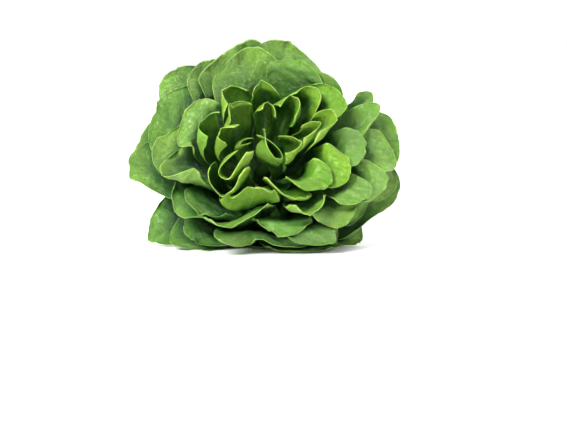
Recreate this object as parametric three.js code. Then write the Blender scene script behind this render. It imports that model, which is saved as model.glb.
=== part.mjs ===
// A head of butter lettuce that lies on its side, heart forward and cut stem to the rear.
// Millimetres. +Z is up, the heart faces -Y, +X is the right-hand side seen from the front.
// The leaves stand in a spiral round the stem. Each one is laid over those inside it and is
// pressed outwards by them, so that no two leaves touch.
import * as THREE from "three";

// The head
const AXIS_TILT = THREE.MathUtils.degToRad(24);
const LEAN = 0.12;
const FLOOR = -50;
const FLOOR_SOFT = 16;
const FLAT_SPOT = 2.2;
const HEART_HEIGHT = 138;

// The stem
const STEM_HEIGHT = 56;
const STEM_RADIUS = 12.5;
const STEM_TAPER = 0.55;
const STEM_CLEARANCE = 1.1;
const STEM_SIDES = 20;
const CUT_END = 6;

// The blades
const BLADE = 0.8;
const RIB = 1.8;
const GAP = 1.2;
const WIDEST = 0.58;
const BASE_WIDTH = 0.25;
const SMALL_LEAF = 26;

// Lengths of the innermost and the outermost leaves, at the least and at the most
const SHORTEST = [78, 112];
const LONGEST = [92, 156];
const LENGTH_STEP = 2;

// Levels of the leaves: how far out in the head they stand
const INNERMOST = 0.015;
const OUTER_LEVEL = 0.85;
const LEVEL_RISE = 1.35;
const WRAPPER_LEVEL = 0.86;
const WRAPPER_STEP = 0.008;

// The order in which the leaves are pressed together
const AZIMUTHS = 120;
const STEPS = 48;
const STEP_MM = 4.5;
const PATH_STEPS = 24;

// Leaves seen from the front, from the heart outwards: direction in degrees from the right,
// how far the rim stands from the heart, half the width, how much the sides curl in, how much
// the blade turns, and how much the tip bends out
const FRONT_LEAVES = [
  [195, 18, 9, 0.9, 0.0, 0.0],
  [311, 29, 18, 1.1, 0.0, 0.0],
  [89, 36, 12, 0.7, 0.1, 0.0],
  [352, 38, 17, 0.7, -0.2, 0.0],
  [170, 46, 13, 0.9, 0.1, 0.0],
  [133, 46, 16, 0.5, 0.0, 0.05],
  [58, 50, 18, 1.0, 0.0, 0.0],
  [89, 49, 16, 0.5, 0.0, 0.05],
  [228, 50, 20, 1.1, 0.0, 0.0],
  [5, 54, 13, 1.0, 0.0, 0.0],
  [256, 60, 25, 0.5, 0.3, -0.28],
  [124, 58, 20, 1.0, 0.3, 0.0],
  [290, 58, 18, 0.7, -0.3, 0.0],
  [45, 60, 19, 0.8, -0.2, 0.05],
  [229, 62, 25, 1.0, 0.0, 0.0],
  [163, 64, 18, 0.8, 0.3, 0.0],
  [320, 62, 18, 0.4, 0.2, 0.15],
  [8, 68, 17, 0.9, 0.0, 0.0],
  [222, 76, 28, 0.5, -0.4, 0.05],
  [303, 74, 19, 0.8, 0.0, 0.05],
  [337, 74, 20, 0.4, 0.2, 0.15],
  [153, 78, 27, 0.3, 0.0, 0.12],
  [36, 74, 26, 0.4, -0.2, 0.1],
  [187, 82, 28, 0.8, 0.1, 0.0],
  [355, 90, 19, 0.3, 0.3, 0.15],
  [331, 92, 17, 0.4, 0.3, 0.15],
  [100, 80, 48, 0.12, 0.0, 0.04],
  [250, 80, 32, 0.4, -0.2, 0.05],
  [283, 82, 24, 0.5, 0.3, 0.1],
  [316, 86, 18, 0.5, -0.3, 0.15],
  [205, 98, 31, 0.5, 0.0, 0.05],
  [64, 82, 32, 0.2, 0.0, 0.05],
  [164, 96, 34, 0.2, 0.0, 0.08],
  [299, 94, 20, 0.5, 0.3, 0.15],
  [268, 92, 44, 0.2, 0.1, 0.1],
  [14, 106, 20, 0.6, 0.3, 0.05],
  [307, 108, 20, 0.4, -0.2, 0.15],
  [340, 102, 20, 0.4, -0.3, 0.15],
  [78, 90, 42, 0.12, 0.0, 0.03],
  [116, 98, 44, 0.12, 0.0, 0.03],
  [327, 108, 20, 0.5, 0.2, 0.15],
  [357, 114, 23, 0.3, -0.3, 0.15],
  [228, 102, 40, 0.2, 0.1, 0.1],
  [27, 102, 8, 0.6, 0.0, 0.0],
  [290, 106, 26, 0.5, -0.2, 0.1],
  [132, 110, 48, 0.1, 0.0, 0.03],
  [152, 112, 44, 0.1, 0.0, 0.05],
  [178, 120, 42, 0.2, 0.0, 0.05],
  [343, 128, 30, 0.3, 0.2, 0.1],
  [316, 120, 26, 0.4, 0.0, 0.1],
  [5, 128, 34, 0.2, -0.2, 0.1],
  [104, 96, 50, 0.1, 0.0, 0.03],
  [204, 126, 42, 0.3, 0.0, 0.05],
];
// Directions and lengths of the broad leaves that wrap the back of the head
const WRAPPERS = [
  [342, 140],
  [150, 132],
  [58, 112],
  [112, 124],
  [292, 130],
  [240, 132],
];
const EDGE_RIGHT = 140;
const EDGE_LEFT = 124;
const EDGE_TOP = 110;
const EDGE_BOTTOM = 104;
const SEED = 7;

function randomSource(seed) {
  let state = seed;
  return (low, high) => {
    state = (state * 1664525 + 1013904223) % 2 ** 32;
    return low + ((high - low) * state) / 2 ** 32;
  };
}

const mix = (a, b, share) => a + (b - a) * share;

function smooth(low, high, x) {
  const share = Math.min(Math.max((x - low) / (high - low), 0), 1);
  return share * share * (3 - 2 * share);
}

// Shells: level 0 stands upright round the heart, level 1 lies wide open at the outside
function shellAngle(azimuth, level, along) {
  const under = Math.max(0, -Math.sin(azimuth)) ** 3;
  const over = Math.max(0, Math.sin(azimuth)) ** 2;
  const open = Math.max(level, 0);
  const shut = Math.exp(-open / 0.1);
  const base = mix(8, 82, Math.min(open, 1.3) ** 0.75) + 35 * under * open ** 2;
  const middle = mix(2, 50 - 30 * under + 12 * over, open) - 14 * shut;
  const tip = mix(-4, 92 - 70 * under - 10 * over, open ** 1.1) - 40 * shut;
  const share = along / 150;
  const lower = mix(base, middle, smooth(0, 0.45, share));
  return THREE.MathUtils.degToRad(mix(lower, tip, smooth(0.36, 0.95, share)));
}

function stemRadius(level) {
  return STEM_RADIUS * mix(STEM_TAPER, 1, Math.min(Math.max(level, 0), 1));
}

function shellPoint(azimuth, along, level) {
  let radius = stemRadius(level) + STEM_CLEARANCE;
  let height = STEM_HEIGHT * (1 - level);
  const step = along / PATH_STEPS;
  for (let k = 0; k < PATH_STEPS; k += 1) {
    const angle = shellAngle(azimuth, level, step * (k + 0.5));
    radius += step * Math.sin(angle);
    height += step * Math.cos(angle);
  }
  return [radius, height];
}

// A slow wander that carries all the leaves together
function wander(u, v, h) {
  const k = (2 * Math.PI) / 95;
  const grow = 5 * smooth(60, 115, Math.hypot(u, v, h));
  const du = Math.sin(k * v + 1.3 + 0.5 * k * h) + 0.5 * Math.sin(1.7 * k * h + 4.0);
  const dv = Math.sin(k * h + 0.4 + 0.6 * k * u) + 0.5 * Math.sin(1.6 * k * u + 2.0);
  const dh = Math.sin(k * u + 2.9 + 0.7 * k * v) + 0.5 * Math.sin(1.8 * k * v + 5.2);
  return [u + grow * du, v + grow * dv, h + grow * dh];
}

// The surface under the head presses its lowest leaves flat
function pressed(z) {
  const low = z - FLOOR - FLOOR_SOFT;
  if (low >= 0) {
    return z;
  }
  return FLOOR + FLOOR_SOFT + 0.85 * FLOOR_SOFT * (Math.exp(low / FLOOR_SOFT) - 1) + 0.15 * low;
}

function layDown(u, v, h) {
  const c = Math.cos(AXIS_TILT);
  const s = Math.sin(AXIS_TILT);
  return new THREE.Vector3(u, v * s - h * c, v * c + h * s + u * LEAN);
}

function spot(azimuth, along, level) {
  const [radius, height] = shellPoint(azimuth, along, level);
  const [u, v, h] = wander(radius * Math.cos(azimuth), radius * Math.sin(azimuth), height);
  const point = layDown(u, v, h);
  point.z = pressed(point.z);
  return point;
}

// Millimetres from shell to shell, square to them, for one whole level
function spread(azimuth, along, level) {
  const e = 0.01;
  const lift = spot(azimuth, along, level + e).sub(spot(azimuth, along, level - e));
  const a = spot(azimuth, along + 2, level).sub(spot(azimuth, along - 2, level));
  const b = spot(azimuth + 0.05, along, level).sub(spot(azimuth - 0.05, along, level));
  const square = a.cross(b).normalize();
  return Math.max(Math.abs(lift.dot(square)) / (2 * e), 10);
}

function edgeReach(azimuth) {
  const c = Math.cos(azimuth);
  const s = Math.sin(azimuth);
  const side = c > 0 ? EDGE_RIGHT : EDGE_LEFT;
  const rise = s > 0 ? EDGE_TOP : EDGE_BOTTOM;
  return 1 / Math.hypot(c / side, s / rise);
}

// A leaf is as long as it takes for its rim to stand at its reach, seen from the front
function leafLength(azimuth, level, reach, share) {
  const rise = Math.sin(azimuth);
  const slant = 1 - rise * rise * (1 - Math.cos(AXIS_TILT));
  const longest = mix(...LONGEST, share);
  let length = mix(...SHORTEST, share);
  while (length < longest) {
    const [radius, height] = shellPoint(azimuth, length, level);
    const drop = (height - HEART_HEIGHT) * Math.sin(AXIS_TILT) * rise;
    if (radius * slant + drop >= reach) {
      break;
    }
    length += LENGTH_STEP;
  }
  return length;
}

function leafList() {
  const draw = randomSource(SEED);
  const leaves = FRONT_LEAVES.map(([degrees, reach, width, cup, twist, tip]) => {
    const azimuth = THREE.MathUtils.degToRad(degrees);
    const share = reach / edgeReach(azimuth);
    const level = INNERMOST + OUTER_LEVEL * share ** LEVEL_RISE;
    return {
      azimuth,
      level,
      length: leafLength(azimuth, level, reach, share),
      width,
      cup,
      fold: draw(0, 0.12),
      twist,
      tip,
      wave: width * draw(0.03, 0.08),
      turns: draw(1.0, 2.4),
      phase: draw(0, 6.28),
      bend: draw(-0.15, 0.15),
    };
  });
  WRAPPERS.forEach(([degrees, length], i) => {
    leaves.push({
      azimuth: THREE.MathUtils.degToRad(degrees),
      level: WRAPPER_LEVEL + WRAPPER_STEP * i,
      length,
      width: 50 + draw(-4, 6),
      cup: draw(0.05, 0.2),
      fold: 0,
      twist: draw(-0.12, 0.12),
      tip: draw(-0.05, 0.1),
      wave: draw(0.8, 3.0),
      turns: draw(1.6, 2.8),
      phase: draw(0, 6.28),
      bend: draw(-0.15, 0.15),
    });
  });
  return leaves.sort((a, b) => a.level - b.level);
}

// One point of a blade: p runs from the foot to the tip, q from side to side
function bladePoint(leaf, p, q) {
  const { length, width } = leaf;
  const y = Math.min(Math.max((p - WIDEST) / (1 - WIDEST), 0), 1);
  const round = Math.min(width, 0.5 * length);
  const straight = (length - round) * Math.min(p / WIDEST, 1);
  const along = straight + round * y * Math.sqrt(1 - (q * q) / 2);
  const profile = BASE_WIDTH + (1 - BASE_WIDTH) * smooth(0.06, WIDEST, p);
  const side = width * (profile * Math.sqrt(1 - (y * y) / 2) * q + leaf.bend * p * p);
  const [radius] = shellPoint(leaf.azimuth, along, leaf.level);
  const azimuth = leaf.azimuth + side / Math.max(radius, 14);
  const blade = smooth(0.15, 0.75, p);
  const rim = Math.max(Math.abs(q), y) ** 3;
  const ring = Math.atan2(q, p - WIDEST);
  const curl = -leaf.cup * q * q + leaf.twist * q - leaf.fold * Math.abs(q);
  const ruffle = leaf.wave * rim * blade * Math.sin(2 * leaf.turns * ring + leaf.phase);
  const out = width * blade * curl + length * leaf.tip * smooth(0.6, 1, p) ** 2 + ruffle;
  const room = spread(azimuth, along, leaf.level);
  return { azimuth, along, level: leaf.level + out / room };
}

function ribHeight(leaf, p, q) {
  return ((RIB * leaf.width) / 50) * (1 - p) ** 2 * (1 - Math.abs(q));
}

function cell(azimuth, along) {
  const turn = Math.floor((azimuth / (2 * Math.PI)) * AZIMUTHS) % AZIMUTHS;
  const step = Math.min(Math.max(Math.floor(along / STEP_MM), 0), STEPS - 1);
  return [(turn + AZIMUTHS) % AZIMUTHS, step];
}

function highestNear(stack, azimuth, along) {
  const [turn, step] = cell(azimuth, along);
  let highest = -1;
  for (let da = -2; da <= 2; da += 1) {
    for (let dt = -2; dt <= 2; dt += 1) {
      const a = (turn + da + AZIMUTHS) % AZIMUTHS;
      const t = step + dt;
      if (t >= 0 && t < STEPS) {
        highest = Math.max(highest, stack[a][t]);
      }
    }
  }
  return highest;
}

function smoothPush(needed) {
  const rows = needed.length;
  const columns = needed[0].length;
  let push = needed.map((row) => row.slice());
  for (let turn = 0; turn < 6; turn += 1) {
    push = push.map((row, i) =>
      row.map((value, j) => {
        const before = push[Math.max(i - 1, 0)][j];
        const after = push[Math.min(i + 1, rows - 1)][j];
        const left = row[Math.max(j - 1, 0)];
        const right = row[Math.min(j + 1, columns - 1)];
        return Math.max(needed[i][j], (before + after + left + right) / 4);
      }),
    );
  }
  return push;
}

// Marks in the stack how high a leaf's back comes
function markLeaf(stack, points) {
  const fine = 6;
  for (let i = 0; i + 1 < points.length; i += 1) {
    for (let j = 0; j + 1 < points[0].length; j += 1) {
      const corners = [points[i][j], points[i][j + 1], points[i + 1][j], points[i + 1][j + 1]];
      for (let a = 0; a <= fine; a += 1) {
        for (let b = 0; b <= fine; b += 1) {
          const s = a / fine;
          const t = b / fine;
          const parts = [(1 - s) * (1 - t), (1 - s) * t, s * (1 - t), s * t];
          const read = (key) => corners.reduce((sum, at, n) => sum + at[key] * parts[n], 0);
          const [turn, step] = cell(read("azimuth"), read("along"));
          stack[turn][step] = Math.max(stack[turn][step], read("back"));
        }
      }
    }
  }
}

// Lays the leaves one over the other, the innermost first
function layLeaves() {
  const stack = Array.from({ length: AZIMUTHS }, () => new Array(STEPS).fill(-1));
  const leaves = leafList();
  for (const leaf of leaves) {
    leaf.rows = leaf.width < SMALL_LEAF ? 7 : 8;
    leaf.columns = leaf.width < SMALL_LEAF ? 4 : 6;
    const points = [];
    for (let i = 0; i <= leaf.rows; i += 1) {
      points.push([]);
      for (let j = 0; j <= leaf.columns; j += 1) {
        const p = i / leaf.rows;
        const q = (2 * j) / leaf.columns - 1;
        points[i].push({ p, q, ...bladePoint(leaf, p, q) });
      }
    }
    const needed = points.map((row) =>
      row.map((point) => {
        const near = highestNear(stack, point.azimuth, point.along);
        const room = spread(point.azimuth, point.along, Math.max(near, point.level));
        return Math.max(0, near + (BLADE / 2 + GAP) / room - point.level);
      }),
    );
    const push = smoothPush(needed);
    points.forEach((row, i) =>
      row.forEach((point, j) => {
        point.level += push[i][j];
        const room = spread(point.azimuth, point.along, point.level);
        point.back = point.level + (BLADE / 2 + ribHeight(leaf, point.p, point.q)) / room;
        point.place = spot(point.azimuth, point.along, point.level);
      }),
    );
    markLeaf(stack, points);
    leaf.points = points;
  }
  return leaves;
}

// Gives a leaf its two faces: the upper one towards the heart, the back with the rib
function leafFaces(leaf) {
  const { points, rows, columns } = leaf;
  return points.map((row, i) =>
    row.map((point, j) => {
      const up = points[Math.min(i + 1, rows)][j].place.clone();
      const across = row[Math.min(j + 1, columns)].place.clone();
      up.sub(points[Math.max(i - 1, 0)][j].place);
      across.sub(row[Math.max(j - 1, 0)].place);
      const outward = across.cross(up).normalize();
      const upper = point.place.clone().addScaledVector(outward, -BLADE / 2);
      const thickness = BLADE / 2 + ribHeight(leaf, point.p, point.q);
      const back = point.place.clone().addScaledVector(outward, thickness);
      return { upper, back };
    }),
  );
}

function leafGeometry(faces) {
  const rows = faces.length;
  const columns = faces[0].length;
  const positions = [];
  for (const side of ["upper", "back"]) {
    for (const row of faces) {
      for (const point of row) {
        positions.push(point[side].x, point[side].y, point[side].z);
      }
    }
  }
  const index = [];
  const count = rows * columns;
  const at = (i, j) => i * columns + j;
  const quad = (a, b, c, d) => index.push(a, b, c, a, c, d);
  for (let i = 0; i + 1 < rows; i += 1) {
    for (let j = 0; j + 1 < columns; j += 1) {
      const [a, b, c, d] = [at(i, j), at(i, j + 1), at(i + 1, j + 1), at(i + 1, j)];
      index.push(a, c, b, a, d, c);
      index.push(count + a, count + b, count + c, count + a, count + c, count + d);
    }
  }
  for (let i = 0; i + 1 < rows; i += 1) {
    const last = columns - 1;
    quad(at(i, 0), count + at(i, 0), count + at(i + 1, 0), at(i + 1, 0));
    quad(at(i, last), at(i + 1, last), count + at(i + 1, last), count + at(i, last));
  }
  for (let j = 0; j + 1 < columns; j += 1) {
    const last = rows - 1;
    quad(at(0, j), at(0, j + 1), count + at(0, j + 1), count + at(0, j));
    quad(at(last, j), count + at(last, j), count + at(last, j + 1), at(last, j + 1));
  }
  const geometry = new THREE.BufferGeometry();
  geometry.setAttribute("position", new THREE.Float32BufferAttribute(positions, 3));
  geometry.setIndex(index);
  return geometry;
}

// The stem: a cone that thickens towards the cut end, closed by a rounded top
function stemGeometry(bottom) {
  const top = STEM_HEIGHT;
  const rings = [
    [bottom, STEM_RADIUS - 1],
    [bottom + 1, STEM_RADIUS],
    [0, STEM_RADIUS],
    [top * 0.5, stemRadius(0.5)],
    [top, stemRadius(0)],
    [top + 3, stemRadius(0) * 0.72],
  ];
  const positions = [];
  const place = (u, v, h) => {
    const point = layDown(u, v, h);
    positions.push(point.x, point.y, point.z);
  };
  place(0, 0, bottom);
  place(0, 0, top + 4.5);
  for (const [height, radius] of rings) {
    for (let k = 0; k < STEM_SIDES; k += 1) {
      const angle = (2 * Math.PI * k) / STEM_SIDES;
      place(radius * Math.cos(angle), radius * Math.sin(angle), height);
    }
  }
  const index = [];
  const at = (ring, k) => 2 + ring * STEM_SIDES + (k % STEM_SIDES);
  for (let k = 0; k < STEM_SIDES; k += 1) {
    index.push(0, at(0, k + 1), at(0, k));
    index.push(1, at(rings.length - 1, k), at(rings.length - 1, k + 1));
    for (let ring = 0; ring + 1 < rings.length; ring += 1) {
      const [a, b, c, d] = [at(ring, k), at(ring, k + 1), at(ring + 1, k + 1), at(ring + 1, k)];
      index.push(a, b, c, a, c, d);
    }
  }
  const geometry = new THREE.BufferGeometry();
  geometry.setAttribute("position", new THREE.Float32BufferAttribute(positions, 3));
  geometry.setIndex(index);
  return geometry;
}

function addMesh(group, name, geometry, color, roughness) {
  const material = new THREE.MeshStandardMaterial({ color, roughness, metalness: 0 });
  const mesh = new THREE.Mesh(geometry, material);
  mesh.name = name;
  group.add(mesh);
}

function buildHead() {
  const group = new THREE.Group();
  group.name = "head_of_lettuce";
  const leaves = layLeaves();
  const faces = leaves.map(leafFaces);
  let lowest = Infinity;
  for (const point of faces.flat(2)) {
    lowest = Math.min(lowest, point.upper.z, point.back.z);
  }
  const ground = lowest + FLAT_SPOT;
  for (const point of faces.flat(2)) {
    point.back.z = Math.max(point.back.z, ground);
    point.upper.z = Math.max(point.upper.z, ground + BLADE);
  }
  const feet = leaves.map((leaf) => STEM_HEIGHT * (1 - leaf.points[0][leaf.columns / 2].level));
  addMesh(group, "stem", stemGeometry(Math.min(...feet) - CUT_END), 0xdfe6bf, 0.6);
  const heart = new THREE.Color(0x86a848);
  const outside = new THREE.Color(0x4f8036);
  faces.forEach((leaf, i) => {
    const color = heart.clone().lerp(outside, i / (faces.length - 1));
    addMesh(group, `leaf_${String(i + 1).padStart(2, "0")}`, leafGeometry(leaf), color, 0.5);
  });
  const box = new THREE.Box3().setFromObject(group);
  for (const mesh of group.children) {
    mesh.geometry.translate(
      -(box.min.x + box.max.x) / 2,
      -(box.min.y + box.max.y) / 2,
      -box.min.z,
    );
  }
  return group;
}

export default buildHead();
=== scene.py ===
"""A head of butter lettuce on its side, seen from the front of its open rosette.

The leaves follow the same shells as the solids: each one is laid over those inside it. Here
every leaf is a fine, thin blade with its rib, veins, puckers and waved rim.
"""

import math

import bpy
import numpy as np
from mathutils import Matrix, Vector
from mathutils.bvhtree import BVHTree


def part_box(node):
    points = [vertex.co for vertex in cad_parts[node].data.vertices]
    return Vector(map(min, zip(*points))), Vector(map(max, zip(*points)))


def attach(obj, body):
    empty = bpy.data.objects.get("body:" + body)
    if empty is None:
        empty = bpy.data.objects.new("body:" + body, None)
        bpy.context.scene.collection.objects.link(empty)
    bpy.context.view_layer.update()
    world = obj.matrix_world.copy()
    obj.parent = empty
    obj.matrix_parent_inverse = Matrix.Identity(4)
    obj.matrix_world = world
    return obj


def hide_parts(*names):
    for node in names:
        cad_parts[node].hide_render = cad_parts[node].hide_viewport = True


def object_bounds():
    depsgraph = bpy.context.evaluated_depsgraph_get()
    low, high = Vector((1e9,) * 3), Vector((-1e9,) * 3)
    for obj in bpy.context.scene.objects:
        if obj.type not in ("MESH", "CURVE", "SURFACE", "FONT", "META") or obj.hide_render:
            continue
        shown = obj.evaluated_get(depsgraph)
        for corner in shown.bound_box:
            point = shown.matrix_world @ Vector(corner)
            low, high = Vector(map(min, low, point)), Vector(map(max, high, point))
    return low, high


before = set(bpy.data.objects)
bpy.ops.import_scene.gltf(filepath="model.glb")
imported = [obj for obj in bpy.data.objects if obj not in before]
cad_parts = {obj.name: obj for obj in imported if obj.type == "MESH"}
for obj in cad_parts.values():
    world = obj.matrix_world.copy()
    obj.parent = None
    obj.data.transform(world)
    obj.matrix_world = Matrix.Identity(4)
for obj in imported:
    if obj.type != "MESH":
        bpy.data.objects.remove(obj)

cad_box = [list(corner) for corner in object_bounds()]

# Millimetres in a metre
MM = 1000

# The head, in millimetres
AXIS_TILT = math.radians(24)
LEAN = 0.12
FLOOR = -50.0
FLOOR_SOFT = 16.0
HEART_HEIGHT = 138.0

# How much of its way a leaf still goes down below the level where the surface presses it
FLOOR_GIVE = 0.15

# The stem. Its crown is a low dome above the leaves' feet: heights over the top, and radii there
# as shares of the top's radius
STEM_HEIGHT = 56.0
STEM_RADIUS = 12.5
STEM_TAPER = 0.55
STEM_CLEARANCE = 1.1
STEM_SIDES = 20
STEM_EDGE = 1.0
STEM_CROWN = [(3.0, 0.72), (4.5, 0.0)]
CUT_END = 6.0

# The blades. WIDEST and BLADE_SPAN are shares of the length from the foot, BASE_WIDTH is a share
# of the width, and a leaf under SMALL_LEAF in half its width has a coarser grid
BLADE = 0.8
RIB = 1.8
BROAD_LEAF = 50
GAP = 1.2
WIDEST = 0.58
BASE_WIDTH = 0.25
BASE_ENDS = 0.06
BLADE_SPAN = (0.15, 0.75)
TIP_SPAN = (0.6, 1.0)
SMALL_LEAF = 26
LEAST_RADIUS = 14.0

# How far a shell leans off the axis, in degrees, at the heart and at the outside: at the leaves'
# feet, half way and at their tips. Below the axis the outer leaves lean by UNDER_LEAN more, and
# above it by OVER_LEAN. The heart's shells shut by SHUT_LEAN
FOOT_LEAN = (8, 82)
MIDDLE_LEAN = (2, 50)
TIP_LEAN = (-4, 92)
UNDER_LEAN = (35, -30, -70)
OVER_LEAN = (12, -10)
SHUT_LEAN = (14, 40)
SHUT_LEVEL = 0.1
WIDEST_LEVEL = 1.3
FOOT_RISE = 0.75
TIP_RISE = 1.1
SHELL_LENGTH = 150.0
LOWER_SPAN = (0.0, 0.45)
UPPER_SPAN = (0.36, 0.95)

# The slow wander of all the leaves together: its wavelength, its size, and the distances from the
# stem's foot between which it grows
WANDER_WAVE = 95
WANDER_SIZE = 5
WANDER_GROWS = (60.0, 115.0)

# Lengths of the innermost and the outermost leaves, at the least and at the most
SHORTEST = (78, 112)
LONGEST = (92, 156)
LENGTH_STEP = 2

# Levels of the leaves: how far out in the head they stand
INNERMOST = 0.015
OUTER_LEVEL = 0.85
LEVEL_RISE = 1.35
WRAPPER_LEVEL = 0.86
WRAPPER_STEP = 0.008

# The cells in which the leaves are pressed together, how many cells round a place are read, and
# how the press is smoothed
AZIMUTHS = 120
STEPS = 48
STEP_MM = 4.5
PATH_STEPS = 24
NEAR_CELLS = 2
MARK_STEPS = 6
PUSH_ROUNDS = 6
PRESS_GRID = (8, 6)
SMALL_PRESS_GRID = (7, 4)

# Small steps in level, along a leaf and round the axis, that measure the room between shells
LEVEL_PROBE = 0.01
ALONG_PROBE = 2
TURN_PROBE = 0.05
LEAST_ROOM = 10.0

# Leaves seen from the front, from the heart outwards: direction in degrees from the right,
# how far the rim stands from the heart, half the width, how much the sides curl in, how much
# the blade turns, and how much the tip bends out
FRONT_LEAVES = [
    (195, 18, 9, 0.9, 0.0, 0.0),
    (311, 29, 18, 1.1, 0.0, 0.0),
    (89, 36, 12, 0.7, 0.1, 0.0),
    (352, 38, 17, 0.7, -0.2, 0.0),
    (170, 46, 13, 0.9, 0.1, 0.0),
    (133, 46, 16, 0.5, 0.0, 0.05),
    (58, 50, 18, 1.0, 0.0, 0.0),
    (89, 49, 16, 0.5, 0.0, 0.05),
    (228, 50, 20, 1.1, 0.0, 0.0),
    (5, 54, 13, 1.0, 0.0, 0.0),
    (256, 60, 25, 0.5, 0.3, -0.28),
    (124, 58, 20, 1.0, 0.3, 0.0),
    (290, 58, 18, 0.7, -0.3, 0.0),
    (45, 60, 19, 0.8, -0.2, 0.05),
    (229, 62, 25, 1.0, 0.0, 0.0),
    (163, 64, 18, 0.8, 0.3, 0.0),
    (320, 62, 18, 0.4, 0.2, 0.15),
    (8, 68, 17, 0.9, 0.0, 0.0),
    (222, 76, 28, 0.5, -0.4, 0.05),
    (303, 74, 19, 0.8, 0.0, 0.05),
    (337, 74, 20, 0.4, 0.2, 0.15),
    (153, 78, 27, 0.3, 0.0, 0.12),
    (36, 74, 26, 0.4, -0.2, 0.1),
    (187, 82, 28, 0.8, 0.1, 0.0),
    (355, 90, 19, 0.3, 0.3, 0.15),
    (331, 92, 17, 0.4, 0.3, 0.15),
    (100, 80, 48, 0.12, 0.0, 0.04),
    (250, 80, 32, 0.4, -0.2, 0.05),
    (283, 82, 24, 0.5, 0.3, 0.1),
    (316, 86, 18, 0.5, -0.3, 0.15),
    (205, 98, 31, 0.5, 0.0, 0.05),
    (64, 82, 32, 0.2, 0.0, 0.05),
    (164, 96, 34, 0.2, 0.0, 0.08),
    (299, 94, 20, 0.5, 0.3, 0.15),
    (268, 92, 44, 0.2, 0.1, 0.1),
    (14, 106, 20, 0.6, 0.3, 0.05),
    (307, 108, 20, 0.4, -0.2, 0.15),
    (340, 102, 20, 0.4, -0.3, 0.15),
    (78, 90, 42, 0.12, 0.0, 0.03),
    (116, 98, 44, 0.12, 0.0, 0.03),
    (327, 108, 20, 0.5, 0.2, 0.15),
    (357, 114, 23, 0.3, -0.3, 0.15),
    (228, 102, 40, 0.2, 0.1, 0.1),
    (27, 102, 8, 0.6, 0.0, 0.0),
    (290, 106, 26, 0.5, -0.2, 0.1),
    (132, 110, 48, 0.1, 0.0, 0.03),
    (152, 112, 44, 0.1, 0.0, 0.05),
    (178, 120, 42, 0.2, 0.0, 0.05),
    (343, 128, 30, 0.3, 0.2, 0.1),
    (316, 120, 26, 0.4, 0.0, 0.1),
    (5, 128, 34, 0.2, -0.2, 0.1),
    (104, 96, 50, 0.1, 0.0, 0.03),
    (204, 126, 42, 0.3, 0.0, 0.05),
]
# Directions and lengths of the broad leaves that wrap the back of the head
WRAPPERS = [
    (342, 140),
    (150, 132),
    (58, 112),
    (112, 124),
    (292, 130),
    (240, 132),
]
EDGE_RIGHT = 140.0
EDGE_LEFT = 124.0
EDGE_TOP = 110.0
EDGE_BOTTOM = 104.0
SEED = 7

HEART_LEAVES = 20

# What each leaf draws its own small differences from
FULL_TURN = 6.28
FOLDS = (0, 0.12)
WAVE_SHARES = (0.03, 0.08)
WAVE_TURNS = (1.0, 2.4)
BENDS = (-0.15, 0.15)
WRAPPER_WIDTH = 50
WRAPPER_WIDTHS = (-4, 6)
WRAPPER_CUPS = (0.05, 0.2)
WRAPPER_TWISTS = (-0.12, 0.12)
WRAPPER_TIPS = (-0.05, 0.1)
WRAPPER_WAVES = (0.8, 3.0)
WRAPPER_TURNS = (1.6, 2.8)

# How softly a rim that would stand out of the solids' box is drawn back into it. The box's lower
# face is taken lower than it is, so that the leaves that rest aren't lifted
BOX_SOFT = 2.0
BELOW_BOX = 20.0

# The fine leaves' grids. A blade starts a little below its foot, so that no gap shows there
FINE_GRID = (66, 56)
SMALL_FINE_GRID = (44, 32)
FOOT_START = -0.015

# The seed of a fine leaf's own small differences, by its number
LEAF_SEED = 1000
LEAF_SEED_STEP = 37

# Uneven rims: how many times each wave goes round the rim, and its size as a share of the leaf's.
# On the sides the waves grow over a span of the length
RIM_WAVES = ((2.6, 0.016), (6.3, 0.011), (13.0, 0.007), (22.0, 0.004))
RIM_WAVES_SPAN = (0.2, 0.6)

# Ruffles along the rims: their wavelength, their size, how far in they reach, and how far they
# lift the rim towards the heart. A second, finer ruffle and a slow swell make them uneven. Ruffles
# and puckers grow over a span of the length
RUFFLE_LENGTHS = (20, 34)
RUFFLE_SIZE = 0.8
RUFFLE_REACH = 7
RUFFLE_LIFT = 0.9
FINER_RUFFLE = 2.3
FINER_SIZE = 0.5
RUFFLE_SWELL = 0.37
SWELL_SHARES = (0.6, 0.4)
RELIEF_SPAN = (0.2, 0.7)

# Puckers: how many waves, their lengths, their size, and the millimetres from the rim over which
# they rise
PUCKER_WAVES = 7
PUCKER_LENGTHS = (12, 30)
PUCKER_SIZE = 1.5
PUCKER_RISE = (0, 8)

# Side veins: the step between them, how they slant and bend up towards the rim, their width as a
# share of the step, and their depth. They rise over a span of the length, and from the rim inwards
VEIN_STEP = 15
VEIN_SLANT = 0.72
VEIN_BEND = 0.004
VEIN_WIDTH = 0.3
VEIN_DEPTH = 0.6
VEIN_SPAN = (0.05, 0.3)
VEIN_RISE = (1, 14)

# The middle rib: its width at the foot and at the tip, its height on the face and the back, and
# how it thins and sinks towards the tip
RIB_WIDTHS = (4.5, 1.0)
FACE_RIB = 0.5
BACK_RIB = 1.9
RIB_THINS = 0.7
RIB_SINKS = 1.6

# A blade's thickness at the rim, and the millimetres from the rim over which it grows to BLADE
RIM_BLADE = 0.5
BLADE_GROWS = (0, 6)

# Millimetres that a leaf's own texture spans
TEXTURE_MM = 200.0

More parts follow.
